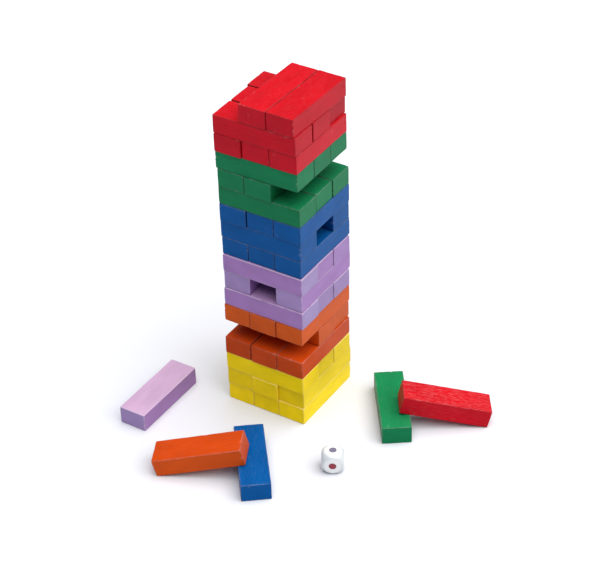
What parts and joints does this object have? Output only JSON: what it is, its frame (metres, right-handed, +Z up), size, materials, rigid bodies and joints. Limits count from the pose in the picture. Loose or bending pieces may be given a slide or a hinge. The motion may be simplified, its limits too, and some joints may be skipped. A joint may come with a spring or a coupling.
{
  "type": "giant tumbling tower",
  "caption": "Stacked tower of loose painted wooden blocks with drawn gaps, with spare blocks and a colour die lying on the ground beside it.",
  "frame": {"origin": "middle of the underside of the bottom middle block, on the ground", "axes": "+Z up the tower; +X across the bottom row towards the green and red loose blocks; +Y along the bottom row, away from the blue loose block"},
  "size_m": [0.6467, 0.5087, 0.7028],
  "materials": {
    "red_paint": "painted wood, satin",
    "green_paint": "painted wood, satin",
    "blue_paint": "painted wood, satin",
    "lavender_paint": "painted wood, satin",
    "orange_paint": "painted wood, satin",
    "yellow_paint": "painted wood, satin",
    "die_white": "gloss white",
    "spot_paint": "painted in the six block colours"
  },
  "bodies": {
    "yellow_row01_left": {"yellow_row01_left": "yellow_paint"},
    "yellow_row01_middle": {"yellow_row01_middle": "yellow_paint"},
    "yellow_row01_right": {"yellow_row01_right": "yellow_paint"},
    "yellow_row02_left": {"yellow_row02_left": "yellow_paint"},
    "yellow_row02_middle": {"yellow_row02_middle": "yellow_paint"},
    "yellow_row02_right": {"yellow_row02_right": "yellow_paint"},
    "yellow_row03_front": {"yellow_row03_front": "yellow_paint"},
    "yellow_row03_middle": {"yellow_row03_middle": "yellow_paint"},
    "yellow_row03_back": {"yellow_row03_back": "yellow_paint"},
    "orange_row04_left": {"orange_row04_left": "orange_paint"},
    "orange_row04_middle": {"orange_row04_middle": "orange_paint"},
    "orange_row04_right": {"orange_row04_right": "orange_paint"},
    "orange_row05_middle": {"orange_row05_middle": "orange_paint"},
    "orange_row05_back": {"orange_row05_back": "orange_paint"},
    "orange_row06_left": {"orange_row06_left": "orange_paint"},
    "orange_row06_middle": {"orange_row06_middle": "orange_paint"},
    "orange_row06_right": {"orange_row06_right": "orange_paint"},
    "lavender_row07_front": {"lavender_row07_front": "lavender_paint"},
    "lavender_row07_middle": {"lavender_row07_middle": "lavender_paint"},
    "lavender_row07_back": {"lavender_row07_back": "lavender_paint"},
    "lavender_row08_left": {"lavender_row08_left": "lavender_paint"},
    "lavender_row08_right": {"lavender_row08_right": "lavender_paint"},
    "lavender_row09_front": {"lavender_row09_front": "lavender_paint"},
    "lavender_row09_middle": {"lavender_row09_middle": "lavender_paint"},
    "lavender_row09_back": {"lavender_row09_back": "lavender_paint"},
    "blue_row10_left": {"blue_row10_left": "blue_paint"},
    "blue_row10_middle": {"blue_row10_middle": "blue_paint"},
    "blue_row10_right": {"blue_row10_right": "blue_paint"},
    "blue_row11_front": {"blue_row11_front": "blue_paint"},
    "blue_row11_back": {"blue_row11_back": "blue_paint"},
    "blue_row12_left": {"blue_row12_left": "blue_paint"},
    "blue_row12_middle": {"blue_row12_middle": "blue_paint"},
    "blue_row12_right": {"blue_row12_right": "blue_paint"},
    "green_row13_front": {"green_row13_front": "green_paint"},
    "green_row13_middle": {"green_row13_middle": "green_paint"},
    "green_row13_back": {"green_row13_back": "green_paint"},
    "green_row14_left": {"green_row14_left": "green_paint"},
    "green_row14_middle": {"green_row14_middle": "green_paint"},
    "green_row15_front": {"green_row15_front": "green_paint"},
    "green_row15_middle": {"green_row15_middle": "green_paint"},
    "green_row15_back": {"green_row15_back": "green_paint"},
    "red_row16_left": {"red_row16_left": "red_paint"},
    "red_row16_middle": {"red_row16_middle": "red_paint"},
    "red_row16_right": {"red_row16_right": "red_paint"},
    "red_row17_front": {"red_row17_front": "red_paint"},
    "red_row17_middle": {"red_row17_middle": "red_paint"},
    "red_row17_back": {"red_row17_back": "red_paint"},
    "red_row18_middle": {"red_row18_middle": "red_paint"},
    "red_row18_right": {"red_row18_right": "red_paint"},
    "lavender_loose": {"lavender_loose": "lavender_paint"},
    "blue_loose": {"blue_loose": "blue_paint"},
    "orange_loose": {"orange_loose": "orange_paint"},
    "green_loose": {"green_loose": "green_paint"},
    "red_loose": {"red_loose": "red_paint"},
    "die": {"die_body": "die_white", "die_spots": "spot_paint"}
  },
  "joints": [
    {"name": "slide_yellow_row01_left", "type": "slide", "parent": "yellow_row01_middle", "child": "yellow_row01_left", "axis": [0, 1, 0], "range_m": [-0.185, 0.185]},
    {"name": "slide_yellow_row01_right", "type": "slide", "parent": "yellow_row01_middle", "child": "yellow_row01_right", "axis": [0, 1, 0], "range_m": [-0.07, 0.185]},
    {"name": "slide_yellow_row02_left", "type": "slide", "parent": "yellow_row01_middle", "child": "yellow_row02_left", "axis": [0.0017, 1, 0], "range_m": [-0.185, 0.185]},
    {"name": "slide_yellow_row02_middle", "type": "slide", "parent": "yellow_row01_middle", "child": "yellow_row02_middle", "axis": [0.0017, 1, 0], "range_m": [-0.15, 0.185]},
    {"name": "slide_yellow_row02_right", "type": "slide", "parent": "yellow_row01_middle", "child": "yellow_row02_right", "axis": [0.0017, 1, 0], "range_m": [-0.14, 0.185]},
    {"name": "slide_yellow_row03_front", "type": "slide", "parent": "yellow_row01_middle", "child": "yellow_row03_front", "axis": [-1, 0.0052, 0], "range_m": [-0.185, 0.185]},
    {"name": "slide_yellow_row03_middle", "type": "slide", "parent": "yellow_row01_middle", "child": "yellow_row03_middle", "axis": [-1, 0.0052, 0], "range_m": [-0.155, 0.185]},
    {"name": "slide_yellow_row03_back", "type": "slide", "parent": "yellow_row01_middle", "child": "yellow_row03_back", "axis": [-1, 0.0052, 0], "range_m": [-0.14, 0.185]},
    {"name": "slide_orange_row04_left", "type": "slide", "parent": "yellow_row01_middle", "child": "orange_row04_left", "axis": [0, 1, 0], "range_m": [-0.185, 0.185]},
    {"name": "slide_orange_row04_middle", "type": "slide", "parent": "yellow_row01_middle", "child": "orange_row04_middle", "axis": [0, 1, 0], "range_m": [-0.185, 0.185]},
    {"name": "slide_orange_row04_right", "type": "slide", "parent": "yellow_row01_middle", "child": "orange_row04_right", "axis": [0, 1, 0], "range_m": [-0.185, 0.185]},
    {"name": "slide_orange_row05_middle", "type": "slide", "parent": "yellow_row01_middle", "child": "orange_row05_middle", "axis": [-1, 0, 0], "range_m": [-0.185, 0.185]},
    {"name": "slide_orange_row05_back", "type": "slide", "parent": "yellow_row01_middle", "child": "orange_row05_back", "axis": [-1, 0, 0], "range_m": [-0.185, 0.185]},
    {"name": "slide_orange_row06_left", "type": "slide", "parent": "yellow_row01_middle", "child": "orange_row06_left", "axis": [0, 1, 0], "range_m": [-0.185, 0.185]},
    {"name": "slide_orange_row06_middle", "type": "slide", "parent": "yellow_row01_middle", "child": "orange_row06_middle", "axis": [0, 1, 0], "range_m": [-0.185, 0.185]},
    {"name": "slide_orange_row06_right", "type": "slide", "parent": "yellow_row01_middle", "child": "orange_row06_right", "axis": [0, 1, 0], "range_m": [-0.185, 0.185]},
    {"name": "slide_lavender_row07_front", "type": "slide", "parent": "yellow_row01_middle", "child": "lavender_row07_front", "axis": [-1, -0.0017, 0], "range_m": [-0.185, 0.185]},
    {"name": "slide_lavender_row07_middle", "type": "slide", "parent": "yellow_row01_middle", "child": "lavender_row07_middle", "axis": [-1, -0.0017, 0], "range_m": [-0.185, 0.185]},
    {"name": "slide_lavender_row07_back", "type": "slide", "parent": "yellow_row01_middle", "child": "lavender_row07_back", "axis": [-1, -0.0017, 0], "range_m": [-0.185, 0.185]},
    {"name": "slide_lavender_row08_left", "type": "slide", "parent": "yellow_row01_middle", "child": "lavender_row08_left", "axis": [-0.0035, 1, 0], "range_m": [-0.185, 0.185]},
    {"name": "slide_lavender_row08_right", "type": "slide", "parent": "yellow_row01_middle", "child": "lavender_row08_right", "axis": [-0.0035, 1, 0], "range_m": [-0.185, 0.185]},
    {"name": "slide_lavender_row09_front", "type": "slide", "parent": "yellow_row01_middle", "child": "lavender_row09_front", "axis": [-1, 0, 0], "range_m": [-0.185, 0.185]},
    {"name": "slide_lavender_row09_middle", "type": "slide", "parent": "yellow_row01_middle", "child": "lavender_row09_middle", "axis": [-1, 0, 0], "range_m": [-0.185, 0.185]},
    {"name": "slide_lavender_row09_back", "type": "slide", "parent": "yellow_row01_middle", "child": "lavender_row09_back", "axis": [-1, 0, 0], "range_m": [-0.185, 0.185]},
    {"name": "slide_blue_row10_left", "type": "slide", "parent": "yellow_row01_middle", "child": "blue_row10_left", "axis": [0, 1, 0], "range_m": [-0.185, 0.185]},
    {"name": "slide_blue_row10_middle", "type": "slide", "parent": "yellow_row01_middle", "child": "blue_row10_middle", "axis": [0, 1, 0], "range_m": [-0.185, 0.185]},
    {"name": "slide_blue_row10_right", "type": "slide", "parent": "yellow_row01_middle", "child": "blue_row10_right", "axis": [0, 1, 0], "range_m": [-0.185, 0.185]},
    {"name": "slide_blue_row11_front", "type": "slide", "parent": "yellow_row01_middle", "child": "blue_row11_front", "axis": [-1, -0.0035, 0], "range_m": [-0.185, 0.185]},
    {"name": "slide_blue_row11_back", "type": "slide", "parent": "yellow_row01_middle", "child": "blue_row11_back", "axis": [-1, -0.0035, 0], "range_m": [-0.185, 0.185]},
    {"name": "slide_blue_row12_left", "type": "slide", "parent": "yellow_row01_middle", "child": "blue_row12_left", "axis": [-0.007, 1, 0], "range_m": [-0.185, 0.185]},
    {"name": "slide_blue_row12_middle", "type": "slide", "parent": "yellow_row01_middle", "child": "blue_row12_middle", "axis": [-0.007, 1, 0], "range_m": [-0.185, 0.185]},
    {"name": "slide_blue_row12_right", "type": "slide", "parent": "yellow_row01_middle", "child": "blue_row12_right", "axis": [-0.007, 1, 0], "range_m": [-0.185, 0.185]},
    {"name": "slide_green_row13_front", "type": "slide", "parent": "yellow_row01_middle", "child": "green_row13_front", "axis": [-0.9999, -0.0105, 0], "range_m": [-0.185, 0.185]},
    {"name": "slide_green_row13_middle", "type": "slide", "parent": "yellow_row01_middle", "child": "green_row13_middle", "axis": [-0.9999, -0.0105, 0], "range_m": [-0.185, 0.185]},
    {"name": "slide_green_row13_back", "type": "slide", "parent": "yellow_row01_middle", "child": "green_row13_back", "axis": [-0.9999, -0.0105, 0], "range_m": [-0.185, 0.185]},
    {"name": "slide_green_row14_left", "type": "slide", "parent": "yellow_row01_middle", "child": "green_row14_left", "axis": [-0.0035, 1, 0], "range_m": [-0.185, 0.185]},
    {"name": "slide_green_row14_middle", "type": "slide", "parent": "yellow_row01_middle", "child": "green_row14_middle", "axis": [-0.0035, 1, 0], "range_m": [-0.185, 0.185]},
    {"name": "slide_green_row15_front", "type": "slide", "parent": "yellow_row01_middle", "child": "green_row15_front", "axis": [-1, -0.007, 0], "range_m": [-0.185, 0.185]},
    {"name": "slide_green_row15_middle", "type": "slide", "parent": "yellow_row01_middle", "child": "green_row15_middle", "axis": [-1, -0.007, 0], "range_m": [-0.185, 0.185]},
    {"name": "slide_green_row15_back", "type": "slide", "parent": "yellow_row01_middle", "child": "green_row15_back", "axis": [-1, -0.007, 0], "range_m": [-0.185, 0.185]},
    {"name": "slide_red_row16_left", "type": "slide", "parent": "yellow_row01_middle", "child": "red_row16_left", "axis": [-0.007, 1, 0], "range_m": [-0.185, 0.185]},
    {"name": "slide_red_row16_middle", "type": "slide", "parent": "yellow_row01_middle", "child": "red_row16_middle", "axis": [-0.007, 1, 0], "range_m": [-0.185, 0.185]},
    {"name": "slide_red_row16_right", "type": "slide", "parent": "yellow_row01_middle", "child": "red_row16_right", "axis": [-0.007, 1, 0], "range_m": [-0.185, 0.185]},
    {"name": "slide_red_row17_front", "type": "slide", "parent": "yellow_row01_middle", "child": "red_row17_front", "axis": [-1, 0.0017, 0], "range_m": [-0.185, 0.185]},
    {"name": "slide_red_row17_middle", "type": "slide", "parent": "yellow_row01_middle", "child": "red_row17_middle", "axis": [-1, 0.0017, 0], "range_m": [-0.185, 0.185]},
    {"name": "slide_red_row17_back", "type": "slide", "parent": "yellow_row01_middle", "child": "red_row17_back", "axis": [-1, 0.0017, 0], "range_m": [-0.185, 0.185]},
    {"name": "slide_red_row18_middle", "type": "slide", "parent": "yellow_row01_middle", "child": "red_row18_middle", "axis": [0.0175, 0.9998, 0], "range_m": [-0.185, 0.185]},
    {"name": "slide_red_row18_right", "type": "slide", "parent": "yellow_row01_middle", "child": "red_row18_right", "axis": [0.0175, 0.9998, 0], "range_m": [-0.185, 0.185]},
    {"name": "slide_lavender_loose", "type": "slide", "parent": "yellow_row01_middle", "child": "lavender_loose", "axis": [0, -0.6, 0.8], "range_m": [0, 0.3]},
    {"name": "lift_blue_loose", "type": "slide", "parent": "yellow_row01_middle", "child": "blue_loose", "axis": [0, 0, 1], "range_m": [0, 0.3]},
    {"name": "lift_orange_loose", "type": "slide", "parent": "blue_loose", "child": "orange_loose", "axis": [0, 0, 1], "range_m": [0, 0.3]},
    {"name": "lift_green_loose", "type": "slide", "parent": "yellow_row01_middle", "child": "green_loose", "axis": [0, 0, 1], "range_m": [0, 0.3]},
    {"name": "lift_red_loose", "type": "slide", "parent": "green_loose", "child": "red_loose", "axis": [0, 0, 1], "range_m": [0, 0.3]},
    {"name": "lift_die", "type": "slide", "parent": "yellow_row01_middle", "child": "die", "axis": [0, 0, 1], "range_m": [0, 0.3]}
  ]
}
